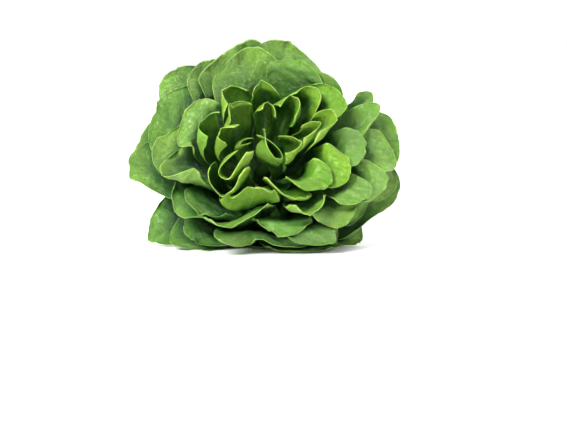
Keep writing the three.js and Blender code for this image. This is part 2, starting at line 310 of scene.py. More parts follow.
# Light between the leaves: the grid and the rays that find it, how far the rays start off the
# blade, how open a place is when it is fully lit, and how dark the gaps get. Pairs of values are
# for the heart and for the outside. The rays are placed round a face's normal with the help of Z,
# or of X where the normal is nearly upright
OPEN_GRID = (22, 18)
OPEN_RAYS = 18
OPEN_REACH = 90.0
OPEN_START = 0.9
NEARLY_UPRIGHT = 0.8
OUTSIDE_LEVEL = 0.8
FULLY_LIT = (0.26, 0.66)
DEEP_SHADE = (0.30, 0.15)
LEAF_DIFFERENCE = (-0.12, 0.12)


def random_source(seed):
    state = [seed]

    def draw(low, high):
        state[0] = (state[0] * 1664525 + 1013904223) % 2**32
        return low + (high - low) * state[0] / 2**32

    return draw


def mix(a, b, share):
    return a + (b - a) * share


def smooth(low, high, x):
    share = np.clip((x - low) / (high - low), 0.0, 1.0)
    return share * share * (3 - 2 * share)


def unit(vectors):
    return vectors / np.maximum(np.linalg.norm(vectors, axis=-1), 1e-9)[..., None]


# Shells: level 0 stands upright round the heart, level 1 lies wide open at the outside
def shell_angle(azimuth, level, along):
    under = np.maximum(0.0, -np.sin(azimuth)) ** 3
    over = np.maximum(0.0, np.sin(azimuth)) ** 2
    level = np.maximum(level, 0.0)
    shut = np.exp(-level / SHUT_LEVEL)
    foot = mix(*FOOT_LEAN, np.minimum(level, WIDEST_LEVEL) ** FOOT_RISE)
    foot = foot + UNDER_LEAN[0] * under * level**2
    middle_out = MIDDLE_LEAN[1] + UNDER_LEAN[1] * under + OVER_LEAN[0] * over
    middle = mix(MIDDLE_LEAN[0], middle_out, level) - SHUT_LEAN[0] * shut
    tip_out = TIP_LEAN[1] + UNDER_LEAN[2] * under + OVER_LEAN[1] * over
    tip = mix(TIP_LEAN[0], tip_out, level**TIP_RISE) - SHUT_LEAN[1] * shut
    share = along / SHELL_LENGTH
    lower = mix(foot, middle, smooth(*LOWER_SPAN, share))
    return np.radians(mix(lower, tip, smooth(*UPPER_SPAN, share)))


def stem_radius(level):
    return STEM_RADIUS * mix(STEM_TAPER, 1.0, np.clip(level, 0, 1))


def shell_point(azimuth, along, level):
    azimuth, along, level = np.broadcast_arrays(azimuth, along, level)
    radius = stem_radius(level) + STEM_CLEARANCE
    height = STEM_HEIGHT * (1 - level)
    step = along / PATH_STEPS
    for k in range(PATH_STEPS):
        angle = shell_angle(azimuth, level, step * (k + 0.5))
        radius = radius + step * np.sin(angle)
        height = height + step * np.cos(angle)
    return radius, height


# A slow wander that carries all the leaves together
def wander(u, v, h):
    k = 2 * math.pi / WANDER_WAVE
    grow = WANDER_SIZE * smooth(*WANDER_GROWS, np.sqrt(u * u + v * v + h * h))

    def drift(a, b, phase, slant, faster, faster_phase):
        slow = np.sin(k * a + phase + slant * k * b)
        return slow + 0.5 * np.sin(faster * k * b + faster_phase)

    du = drift(v, h, 1.3, 0.5, 1.7, 4.0)
    dv = drift(h, u, 0.4, 0.6, 1.6, 2.0)
    dh = drift(u, v, 2.9, 0.7, 1.8, 5.2)
    return u + grow * du, v + grow * dv, h + grow * dh


# The surface under the head presses its lowest leaves flat
def pressed(z):
    low = np.minimum(z - FLOOR - FLOOR_SOFT, 0.0)
    soft = (1 - FLOOR_GIVE) * FLOOR_SOFT * (np.exp(low / FLOOR_SOFT) - 1)
    return z - low + soft + FLOOR_GIVE * low


def lay_down(u, v, h):
    c, s = math.cos(AXIS_TILT), math.sin(AXIS_TILT)
    return np.stack([u + 0 * h, v * s - h * c, v * c + h * s + u * LEAN], axis=-1)


def spot(azimuth, along, level):
    radius, height = shell_point(azimuth, along, level)
    u, v, h = wander(radius * np.cos(azimuth), radius * np.sin(azimuth), height)
    point = lay_down(u, v, h)
    point[..., 2] = pressed(point[..., 2])
    return point


# Millimetres from shell to shell, square to them, for one whole level
def spread(azimuth, along, level):
    e, d, t = LEVEL_PROBE, ALONG_PROBE, TURN_PROBE
    lift = spot(azimuth, along, level + e) - spot(azimuth, along, level - e)
    a = spot(azimuth, along + d, level) - spot(azimuth, along - d, level)
    b = spot(azimuth + t, along, level) - spot(azimuth - t, along, level)
    square = unit(np.cross(a, b))
    return np.maximum(np.abs(np.sum(lift * square, axis=-1)) / (2 * e), LEAST_ROOM)


def edge_reach(azimuth):
    c, s = math.cos(azimuth), math.sin(azimuth)
    side = EDGE_RIGHT if c > 0 else EDGE_LEFT
    rise = EDGE_TOP if s > 0 else EDGE_BOTTOM
    return 1 / math.hypot(c / side, s / rise)


# A leaf is as long as it takes for its rim to stand at its reach, seen from the front
def leaf_length(azimuth, level, reach, share):
    rise = math.sin(azimuth)
    slant = 1 - rise * rise * (1 - math.cos(AXIS_TILT))
    longest = mix(*LONGEST, share)
    length = mix(*SHORTEST, share)
    while length < longest:
        radius, height = shell_point(azimuth, length, level)
        drop = (height - HEART_HEIGHT) * math.sin(AXIS_TILT) * rise
        if radius * slant + drop >= reach:
            break
        length += LENGTH_STEP
    return length


def leaf_list():
    draw = random_source(SEED)
    leaves = []
    for degrees, reach, width, cup, twist, tip in FRONT_LEAVES:
        azimuth = math.radians(degrees)
        share = reach / edge_reach(azimuth)
        level = INNERMOST + OUTER_LEVEL * share**LEVEL_RISE
        leaves.append({
            "azimuth": azimuth,
            "level": level,
            "length": leaf_length(azimuth, level, reach, share),
            "width": width,
            "cup": cup,
            "fold": draw(*FOLDS),
            "twist": twist,
            "tip": tip,
            "wave": width * draw(*WAVE_SHARES),
            "turns": draw(*WAVE_TURNS),
            "phase": draw(0, FULL_TURN),
            "bend": draw(*BENDS),
        })
    for i, (degrees, length) in enumerate(WRAPPERS):
        leaves.append({
            "azimuth": math.radians(degrees),
            "level": WRAPPER_LEVEL + WRAPPER_STEP * i,
            "length": length,
            "width": WRAPPER_WIDTH + draw(*WRAPPER_WIDTHS),
            "cup": draw(*WRAPPER_CUPS),
            "fold": 0.0,
            "twist": draw(*WRAPPER_TWISTS),
            "tip": draw(*WRAPPER_TIPS),
            "wave": draw(*WRAPPER_WAVES),
            "turns": draw(*WRAPPER_TURNS),
            "phase": draw(0, FULL_TURN),
            "bend": draw(*BENDS),
        })
    leaves.sort(key=lambda leaf: leaf["level"])
    return leaves


# Shares of the way from the widest place to the tip
def past_widest(p):
    return np.clip((p - WIDEST) / (1 - WIDEST), 0.0, 1.0)


# Points of a blade: p runs from the foot to the tip, q from side to side
def blade_point(leaf, p, q):
    length, width = leaf["length"], leaf["width"]
    y = past_widest(p)
    rounded = min(width, 0.5 * length)
    straight = (length - rounded) * np.minimum(p / WIDEST, 1.0)
    along = straight + rounded * y * np.sqrt(1 - q * q / 2)
    profile = BASE_WIDTH + (1 - BASE_WIDTH) * smooth(BASE_ENDS, WIDEST, p)
    across = width * profile * np.sqrt(1 - y * y / 2) * q
    side = across + width * leaf["bend"] * p * p
    radius, _ = shell_point(leaf["azimuth"], along, leaf["level"])
    azimuth = leaf["azimuth"] + side / np.maximum(radius, LEAST_RADIUS)
    blade = smooth(*BLADE_SPAN, p)
    rim = np.maximum(np.abs(q), y) ** 3
    ring = np.arctan2(q, p - WIDEST)
    curl = -leaf["cup"] * q * q + leaf["twist"] * q - leaf["fold"] * np.abs(q)
    ruffle = leaf["wave"] * rim * blade * np.sin(2 * leaf["turns"] * ring + leaf["phase"])
    out = width * blade * curl + length * leaf["tip"] * smooth(*TIP_SPAN, p) ** 2 + ruffle
    room = spread(azimuth, along, leaf["level"])
    return azimuth, along, leaf["level"] + out / room, across, room


def rib_height(leaf, p, q):
    return RIB * leaf["width"] / BROAD_LEAF * (1 - p) ** 2 * (1 - np.abs(q))


def grid(rows, columns, start=0.0):
    p = np.linspace(start, 1, rows + 1)[:, None] * np.ones((1, columns + 1))
    q = np.linspace(-1, 1, columns + 1)[None, :] * np.ones((rows + 1, 1))
    return p, q


def cell(azimuth, along):
    turn = np.floor(azimuth / (2 * math.pi) * AZIMUTHS).astype(int) % AZIMUTHS
    step = np.clip(np.floor(along / STEP_MM).astype(int), 0, STEPS - 1)
    return turn, step


def highest_near(stack, azimuth, along):
    turn, step = cell(azimuth, along)
    highest = np.full(azimuth.shape, -1.0)
    for da in range(-NEAR_CELLS, NEAR_CELLS + 1):
        for dt in range(-NEAR_CELLS, NEAR_CELLS + 1):
            t = step + dt
            seen = stack[(turn + da) % AZIMUTHS, np.clip(t, 0, STEPS - 1)]
            highest = np.maximum(highest, np.where((t >= 0) & (t < STEPS), seen, -1.0))
    return highest


def smooth_push(needed):
    push = needed.copy()
    for _ in range(PUSH_ROUNDS):
        padded = np.pad(push, 1, mode="edge")
        mean = padded[:-2, 1:-1] + padded[2:, 1:-1] + padded[1:-1, :-2] + padded[1:-1, 2:]
        push = np.maximum(needed, mean / 4)
    return push


# Marks in the stack how high a leaf's back comes
def mark_leaf(stack, azimuth, along, back):
    for a in range(MARK_STEPS + 1):
        for b in range(MARK_STEPS + 1):
            s, t = a / MARK_STEPS, b / MARK_STEPS

            def read(field):
                low = field[:-1, :-1] * (1 - t) + field[:-1, 1:] * t
                high = field[1:, :-1] * (1 - t) + field[1:, 1:] * t
                return low * (1 - s) + high * s

            np.maximum.at(stack, cell(read(azimuth), read(along)), read(back))


# Lays the leaves one over the other, the innermost first
def lay_leaves():
    stack = np.full((AZIMUTHS, STEPS), -1.0)
    leaves = leaf_list()
    for leaf in leaves:
        p, q = grid(*(SMALL_PRESS_GRID if leaf["width"] < SMALL_LEAF else PRESS_GRID))
        azimuth, along, level, _, _ = blade_point(leaf, p, q)
        near = highest_near(stack, azimuth, along)
        room = spread(azimuth, along, np.maximum(near, level))
        leaf["push"] = smooth_push(np.maximum(0.0, near + (BLADE / 2 + GAP) / room - level))
        level = level + leaf["push"]
        back = level + (BLADE / 2 + rib_height(leaf, p, q)) / spread(azimuth, along, level)
        mark_leaf(stack, azimuth, along, back)
        leaf["foot"] = level[0, level.shape[1] // 2]
    return leaves


# Smooth reading, at places of a blade, of a field that is known on its coarse grid
def read_field(field, p, q):
    rows, columns = field.shape

    # The four weights of a Catmull-Rom curve
    def weights(x, n):
        at = np.clip(np.floor(x).astype(int), 0, n - 2)
        f = x - at
        return at, [
            -0.5 * f + f * f - 0.5 * f**3,
            1 - 2.5 * f * f + 1.5 * f**3,
            0.5 * f + 2 * f * f - 1.5 * f**3,
            -0.5 * f * f + 0.5 * f**3,
        ]

    ci, wi = weights(np.maximum(p, 0) * (rows - 1), rows)
    cj, wj = weights((q + 1) / 2 * (columns - 1), columns)
    total = 0.0
    for a in range(4):
        ia = np.clip(ci + a - 1, 0, rows - 1)
        for b in range(4):
            jb = np.clip(cj + b - 1, 0, columns - 1)
            total = total + wi[a] * wj[b] * field[ia, jb]
    return total


leaves = lay_leaves()
stem_low = STEM_HEIGHT * (1 - max(leaf["foot"] for leaf in leaves)) - CUT_END


def stem_ring(radius, height, turn):
    return lay_down(radius * np.cos(turn), radius * np.sin(turn), height + 0 * turn)


# The solids' stem gives the step from the shells' own origin to the frame's
def frame_shift():
    top = STEM_HEIGHT
    top_radius = float(stem_radius(0.0))
    rings = [
        (stem_low, STEM_RADIUS - STEM_EDGE),
        (stem_low + STEM_EDGE, STEM_RADIUS),
        (0.0, STEM_RADIUS),
        (top * 0.5, float(stem_radius(0.5))),
        (top, top_radius),
    ]
    rings += [(top + rise, top_radius * share) for rise, share in STEM_CROWN]
    turn = np.linspace(0, 2 * math.pi, STEM_SIDES, endpoint=False)
    points = [stem_ring(radius, height, turn) for height, radius in rings]
    own_low = np.concatenate(points).min(0)
    return np.array(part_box("stem")[0]) * MM - own_low


SHIFT = frame_shift()


# Draws what would stand out of the solids' box softly back into it
def held_in_box(points):
    low, high = (np.array(corner) * MM for corner in cad_box)
    low[2] -= BELOW_BOX
    for edge, sign in ((high, 1.0), (low, -1.0)):
        past = np.maximum(sign * (points - edge) + BOX_SOFT, 0.0)
        points = points - sign * (past - BOX_SOFT * (1 - np.exp(-past / BOX_SOFT)))
    points[..., 2] = np.maximum(points[..., 2], 0.0)
    return points


# Fine leaves

def make_mesh(name, points, faces, fields, texture, material):
    mesh = bpy.data.meshes.new(name)
    mesh.from_pydata((points / MM).tolist(), [], faces)
    mesh.polygons.foreach_set("use_smooth", [True] * len(faces))
    for key, values in fields.items():
        field = mesh.attributes.new(key, "FLOAT", "POINT")
        field.data.foreach_set("value", values.astype(np.float32).ravel())
    if texture is not None:
        corners = np.zeros(len(mesh.loops), np.int32)
        mesh.loops.foreach_get("vertex_index", corners)
        layer = mesh.uv_layers.new(name="blade")
        layer.data.foreach_set("uv", texture[corners].astype(np.float32).ravel())
    mesh.materials.append(material)
    piece = bpy.data.objects.new(name, mesh)
    bpy.context.collection.objects.link(piece)
    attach(piece, "root")
    return piece


def grid_faces(rows, columns):
    count = (rows + 1) * (columns + 1)
    at = np.arange(count).reshape(rows + 1, columns + 1)
    a, b, c, d = at[:-1, :-1], at[:-1, 1:], at[1:, 1:], at[1:, :-1]
    upper = np.stack([a, d, c, b], axis=-1).reshape(-1, 4)
    back = np.stack([a, b, c, d], axis=-1).reshape(-1, 4) + count
    ring = np.concatenate([at[0, :-1], at[:-1, -1], at[-1, :0:-1], at[:0:-1, 0]])
    after = np.roll(ring, -1)
    rim = np.stack([ring, after, after + count, ring + count], axis=-1)
    return np.concatenate([upper, back, rim]).tolist()


# How near a point is to a side vein: 1 on it, 0 between two
def side_veins(across, along):
    height = along - VEIN_SLANT * np.abs(across) - VEIN_BEND * across**2
    lane = height / VEIN_STEP + 0.5 * (across > 0)
    return 1 - smooth(0.0, VEIN_WIDTH, np.abs(lane - np.round(lane)))


# Soft uneven swellings
def puckers(across, along, draw):
    total = 0.0
    for _ in range(PUCKER_WAVES):
        turn = draw(0, math.pi)
        wave = 2 * math.pi / draw(*PUCKER_LENGTHS)
        way = across * math.cos(turn) + along * math.sin(turn)
        total = total + np.sin(wave * way + draw(0, FULL_TURN))
    return total / PUCKER_WAVES


# The ruffle along a rim, by the distance round it in millimetres
def rim_ruffle(round_mm, draw):
    wave = 2 * math.pi / draw(*RUFFLE_LENGTHS)
    ruffle = np.sin(wave * round_mm + draw(0, FULL_TURN))
    finer = np.sin(FINER_RUFFLE * wave * round_mm + draw(0, FULL_TURN))
    swell = np.sin(RUFFLE_SWELL * wave * round_mm + draw(0, FULL_TURN))
    return (ruffle + FINER_SIZE * finer) * (SWELL_SHARES[0] + SWELL_SHARES[1] * swell)


def face_normals(points):
    along = np.gradient(points, axis=0)
    across = np.gradient(points, axis=1)
    return unit(np.cross(across, along))


# How open each place is to the light: the share of rays from it that no blade stops
def find_openings():
    rows, columns = OPEN_GRID
    p, q = grid(rows, columns)
    faces = []
    for leaf in leaves:
        azimuth, along, level, _, _ = blade_point(leaf, p, q)
        faces.append(spot(azimuth, along, level + read_field(leaf["push"], p, q)))
    count = p.size
    at = np.arange(count).reshape(p.shape)
    quads = np.stack([at[:-1, :-1], at[:-1, 1:], at[1:, 1:], at[1:, :-1]], axis=-1).reshape(-1, 4)
    points = np.concatenate([face.reshape(-1, 3) for face in faces])
    polygons = np.concatenate([quads + k * count for k in range(len(faces))])
    tree = BVHTree.FromPolygons(points.tolist(), polygons.tolist())

    order = np.arange(OPEN_RAYS) + 0.5
    turn = order * math.pi * (3 - math.sqrt(5))
    flat = np.sqrt(order / OPEN_RAYS)
    rays = np.stack([flat * np.cos(turn), flat * np.sin(turn), np.sqrt(1 - flat * flat)], axis=-1)
    for leaf, face in zip(leaves, faces):
        normal = face_normals(face)
        leaf["open"] = []
        for sign in (-1, 1):
            n = (normal * sign).reshape(-1, 3)
            upright = np.abs(n[:, 2:]) >= NEARLY_UPRIGHT
            a = np.cross(n, np.where(upright, [[1.0, 0.0, 0.0]], [[0.0, 0.0, 1.0]]))
            a /= np.linalg.norm(a, axis=-1)[:, None]
            frames = np.stack([a, np.cross(n, a), n], axis=1)
            ways = np.einsum("rk,vkx->vrx", rays, frames).tolist()
            starts = (face.reshape(-1, 3) + OPEN_START * n).tolist()
            free = [
                sum(tree.ray_cast(start, way, OPEN_REACH)[0] is None for way in fan)
                for start, fan in zip(starts, ways)
            ]
            leaf["open"].append(np.array(free).reshape(p.shape) / OPEN_RAYS)


# How brightly each face of a leaf is lit, from the openings round it
def leaf_light(leaf, p, q, draw):
    outside = min(leaf["level"] / OUTSIDE_LEVEL, 1.0)
    full = mix(*FULLY_LIT, outside)
    shade = mix(*DEEP_SHADE, outside)
    brightness = 1 + draw(*LEAF_DIFFERENCE)
    open_shares = [smooth(0.0, full, read_field(share, p, q)) for share in leaf["open"]]
    return np.concatenate([brightness * mix(shade, 1.0, share).ravel() for share in open_shares])


def on_both_faces(field):
    return np.concatenate([field.ravel(), field.ravel()])


def build_leaf(number, leaf, material):
    draw = random_source(LEAF_SEED + LEAF_SEED_STEP * number)
    width = leaf["width"]
    rows, columns = SMALL_FINE_GRID if width < SMALL_LEAF else FINE_GRID
    p, q = grid(rows, columns, FOOT_START)
    y = past_widest(p)
    share = np.clip(p, 0, 1)
    ring = np.arctan2(q, p - WIDEST)
    uneven = 0.0
    for turns, size in RIM_WAVES:
        uneven = uneven + size * np.sin(turns * ring + draw(0, FULL_TURN))
    outer = np.maximum(np.abs(q), y) ** 3
    p_rim = p + uneven * outer * y * 0.5
    q_rim = q * (1 + uneven * outer * smooth(*RIM_WAVES_SPAN, p))
    azimuth, along, level, across, _ = blade_point(leaf, p_rim, q_rim)
    middle = spot(azimuth, along, level + read_field(leaf["push"], p, q))
    normal = face_normals(middle)

    to_rim = (1 - np.maximum(np.abs(q), y)) * width
    blade = smooth(*RELIEF_SPAN, p)
    ruffle = rim_ruffle(ring * width, draw) - RUFFLE_LIFT
    lift = RUFFLE_SIZE * blade * np.exp(-to_rim / RUFFLE_REACH) * ruffle
    swellings = puckers(across, along, draw) * smooth(*PUCKER_RISE, to_rim)
    lift = lift + PUCKER_SIZE * blade * swellings
    veins = side_veins(across, along) * smooth(*VEIN_SPAN, p) * smooth(*VEIN_RISE, to_rim)
    rib_width = mix(*RIB_WIDTHS, share**RIB_THINS)
    rib = np.exp(-((across / rib_width) ** 2)) * (1 - share) ** RIB_SINKS
    thickness = mix(RIM_BLADE, BLADE, smooth(*BLADE_GROWS, to_rim)) / 2
    upper = lift - thickness + FACE_RIB * rib + VEIN_DEPTH * veins
    back = lift + thickness + BACK_RIB * rib * width / BROAD_LEAF + VEIN_DEPTH * veins
    faces = [middle + normal * side[..., None] + SHIFT for side in (upper, back)]
    faces[0][..., 2] = np.maximum(faces[0][..., 2], BLADE)
    points = held_in_box(np.concatenate([face.reshape(-1, 3) for face in faces]))

    texture = np.stack([0.5 + across / TEXTURE_MM, along / TEXTURE_MM], axis=-1)
    texture = np.concatenate([texture.reshape(-1, 2)] * 2)
    fields = {
        "rim_mm": on_both_faces(to_rim),
        "length_share": on_both_faces(share),
        "under": np.concatenate([np.zeros(p.size), np.ones(p.size)]),
        "light": leaf_light(leaf, p, q, draw),
        "tone": np.full(2 * p.size, leaf["level"] + draw(*LEAF_DIFFERENCE)),
    }
    name = f"lettuce_leaf_{number:02d}"
    quads = grid_faces(rows, columns)
    piece = make_mesh(name, points, quads, fields, texture, material)
    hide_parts(f"leaf_{number:02d}")


# Materials

class Nodes:
    """Short calls for a material's nodes."""

    def __init__(self, name):
        self.material = bpy.data.materials.new(name)
        self.material.use_nodes = True
        self.tree = self.material.node_tree
        self.shader = self.tree.nodes["Principled BSDF"]

    def link(self, source, socket):
        if isinstance(source, bpy.types.NodeSocket):
            self.tree.links.new(source, socket)
        else:
            socket.default_value = source

    def field(self, name):
        node = self.tree.nodes.new("ShaderNodeAttribute")
        node.attribute_name = name
        return node.outputs["Fac"]

    def math(self, operation, a, b=0.0, clamp=False):
        node = self.tree.nodes.new("ShaderNodeMath")
        node.operation = operation
        node.use_clamp = clamp
        self.link(a, node.inputs[0])
        self.link(b, node.inputs[1])
        return node.outputs[0]

    def map(self, value, low, high, to_low=0.0, to_high=1.0):
        node = self.tree.nodes.new("ShaderNodeMapRange")
        node.interpolation_type = "SMOOTHSTEP"
        self.link(value, node.inputs["Value"])
        self.link(low, node.inputs["From Min"])
        self.link(high, node.inputs["From Max"])
        self.link(to_low, node.inputs["To Min"])
        self.link(to_high, node.inputs["To Max"])
        return node.outputs["Result"]

    def blend(self, share, a, b):
        node = self.tree.nodes.new("ShaderNodeMix")
        node.data_type = "RGBA"
        self.link(share, node.inputs[0])
        self.link(a, node.inputs[6])
        self.link(b, node.inputs[7])
        return node.outputs[2]

    def noise(self, vector, scale, detail=3.0, rough=0.5):
        node = self.tree.nodes.new("ShaderNodeTexNoise")
        self.link(vector, node.inputs["Vector"])
        node.inputs["Scale"].default_value = scale
        node.inputs["Detail"].default_value = detail
        node.inputs["Roughness"].default_value = rough
        return node.outputs["Fac"]

    def cracks(self, vector, scale):
        node = self.tree.nodes.new("ShaderNodeTexVoronoi")
        node.feature = "DISTANCE_TO_EDGE"
        self.link(vector, node.inputs["Vector"])
        node.inputs["Scale"].default_value = scale
        return node.outputs["Distance"]

    def weighed(self, terms):
        total = 0.0
        for value, weight in terms:
            total = self.math("ADD", total, self.math("MULTIPLY", value, weight))
        return total

    def bump(self, height, strength, distance):
        node = self.tree.nodes.new("ShaderNodeBump")
        node.inputs["Strength"].default_value = strength
        node.inputs["Distance"].default_value = distance
        self.link(height, node.inputs["Height"])
        self.link(node.outputs["Normal"], self.shader.inputs["Normal"])

    def settings(self, **values):
        for name, value in values.items():
            self.shader.inputs[name.replace("_", " ")].default_value = value


# Greens and pale tones of the plant; the rim's tone also carries a painted highlight, and the
# stem's deep tone is painted shade
HEART_GREEN = (0.15, 0.29, 0.005, 1)
UNDER_GREEN = (0.15, 0.31, 0.014, 1)
VEIN_GREEN = (0.26, 0.41, 0.11, 1)
# The rim's tone: the leaf's own yellower edge, brightened as a painted highlight
RIM_GREEN_AND_HIGHLIGHT = (0.42, 0.60, 0.10, 1)
PALE_GREEN = (0.42, 0.52, 0.26, 1)
PALE_FOOT = (0.60, 0.66, 0.46, 1)
STEM_FLESH = (0.78, 0.80, 0.58, 1)
STEM_BLOTCH = (0.66, 0.71, 0.44, 1)
VESSELS = (0.52, 0.56, 0.26, 1)
# Painted shade on the top of the stem, deep inside the head
STEM_SHADE_GREEN = (0.014, 0.05, 0.005, 1)
CUT_EDGE = (0.52, 0.42, 0.20, 1)

# The part of a noise's values that nearly all of it lies in
NOISE_SPAN = (0.3, 0.7)

# A slow drift: its scale, and how far it moves the side veins, in steps of them, and the pale foot,
# in millimetres
DRIFT_SCALE = 14.0
DRIFT_STEPS = 0.55
DRIFT_MM = 30.0

# The drawn side veins: how far from the middle they thin out, and their widths there as shares of
# the step
VEIN_THINS_MM = 45.0
VEIN_LINES = (0.12, 0.04)

# The net of fine veins and the finer one in it: their scales and the widths of their lines
NET_SCALE = 34.0
NET_WIDTH = 0.09
FINE_NET_SCALE = 95.0
FINE_NET_WIDTH = 0.12

# How strongly each kind of vein is seen, and how deep a groove it is in the fine relief
SIDE_SEEN = 0.42
NET_SEEN = 0.34
FINE_NET_SEEN = 0.2
SIDE_GROOVE = -0.5
NET_GROOVE = -0.35
FINE_NET_GROOVE = -0.2

# The noises of the fine relief: scale, detail and weight
RELIEF_NOISES = ((160.0, 3.0, 0.8), (70.0, 2.0, 1.6), (480.0, 2.0, 0.25))

# The deeper green: the millimetres from the rim over which it comes, its shares there, and its
# patches
DEEP_MM = 26.0
DEEP_SHARES = (0.05, 0.8)
PATCH_SCALE = 28.0
PATCH_SHARES = (-0.3, 0.35)

# How much of the heart's and the underside's tints there is, and the level where the heart's ends
HEART_TINT = 0.4
HEART_TINT_END = 0.5
UNDER_TINT = 0.45

# The drawn rib: its half widths in millimetres, how much of it is seen, and between which shares
# of the length that changes
RIB_LINES = (5.5, 0.35)
RIB_SEEN = (0.7, 0.1)
RIB_SPAN = (0.2, 0.7)

# How much of the pale foot is seen on the face and on the back
PALE_FACES = (0.12, 1.0)

# The pale rim, partly the leaf's own yellower edge and partly a painted highlight: its width in
# millimetres, and the scale of its gaps
RIM_AND_HIGHLIGHT_MM = 1.6
RIM_GAP_SCALE = 45.0

# Powers of the light for red, green and blue, and the grain in it
LIGHT_POWERS = (1.5, 0.72, 1.5)
LIGHT_GRAIN_SCALE = 330.0
LIGHT_GRAIN = (0.84, 1.14)

# The gloss of the leaves: the scale of its speckle, and the roughness that it runs through
SPECKLE_SCALE = 700.0
LEAF_ROUGHNESS = (0.36, 0.46)


# Millimetres across and along a leaf, and its texture's own vector
def leaf_places(n):
    layer = n.tree.nodes.new("ShaderNodeUVMap")
    layer.uv_map = "blade"
    uv = layer.outputs["UV"]
    parts = n.tree.nodes.new("ShaderNodeSeparateXYZ")
    n.link(uv, parts.inputs[0])
    across = n.math("MULTIPLY", n.math("SUBTRACT", parts.outputs["X"], 0.5), TEXTURE_MM)
    along = n.math("MULTIPLY", parts.outputs["Y"], TEXTURE_MM)
    return across, along, uv


# Side veins that lie over the grooves of side_veins, bent a little by a drift
def side_vein_lines(n, across, along, drift):
    away = n.math("ABSOLUTE", across)
    sideways = n.math("MULTIPLY", away, VEIN_SLANT)
    curved = n.math("MULTIPLY", n.math("MULTIPLY", away, away), VEIN_BEND)
    lane = n.math("SUBTRACT", n.math("SUBTRACT", along, sideways), curved)
    lane = n.math("DIVIDE", lane, VEIN_STEP)
    lane = n.math("ADD", lane, n.math("MULTIPLY", drift, DRIFT_STEPS))
    other_side = n.math("GREATER_THAN", across, 0.0)
    lane = n.math("ADD", lane, n.math("MULTIPLY", other_side, 0.5))
    off = n.math("ABSOLUTE", n.math("SUBTRACT", n.math("FRACT", lane), 0.5))
    width = n.map(away, 0.0, VEIN_THINS_MM, *VEIN_LINES)
    lines = n.map(n.math("SUBTRACT", 0.5, off), 0.0, width, 1.0, 0.0)
    return n.math("MULTIPLY", lines, n.map(n.field("rim_mm"), 1.0, 16.0))


# The colour as the light between the leaves leaves it: green lasts longest in the gaps
def lit_colour(n, colour, where):
    grain = n.map(n.noise(where, LIGHT_GRAIN_SCALE, 3.0, 0.65), *NOISE_SPAN, *LIGHT_GRAIN)
    light = n.math("MULTIPLY", n.field("light"), grain)
    tint = n.tree.nodes.new("ShaderNodeCombineXYZ")
    for channel, power in enumerate(LIGHT_POWERS):
        n.link(n.math("POWER", light, power), tint.inputs[channel])
    dim = n.tree.nodes.new("ShaderNodeVectorMath")
    dim.operation = "MULTIPLY"
    n.link(colour, dim.inputs[0])
    n.link(tint.outputs[0], dim.inputs[1])
    return dim.outputs[0]


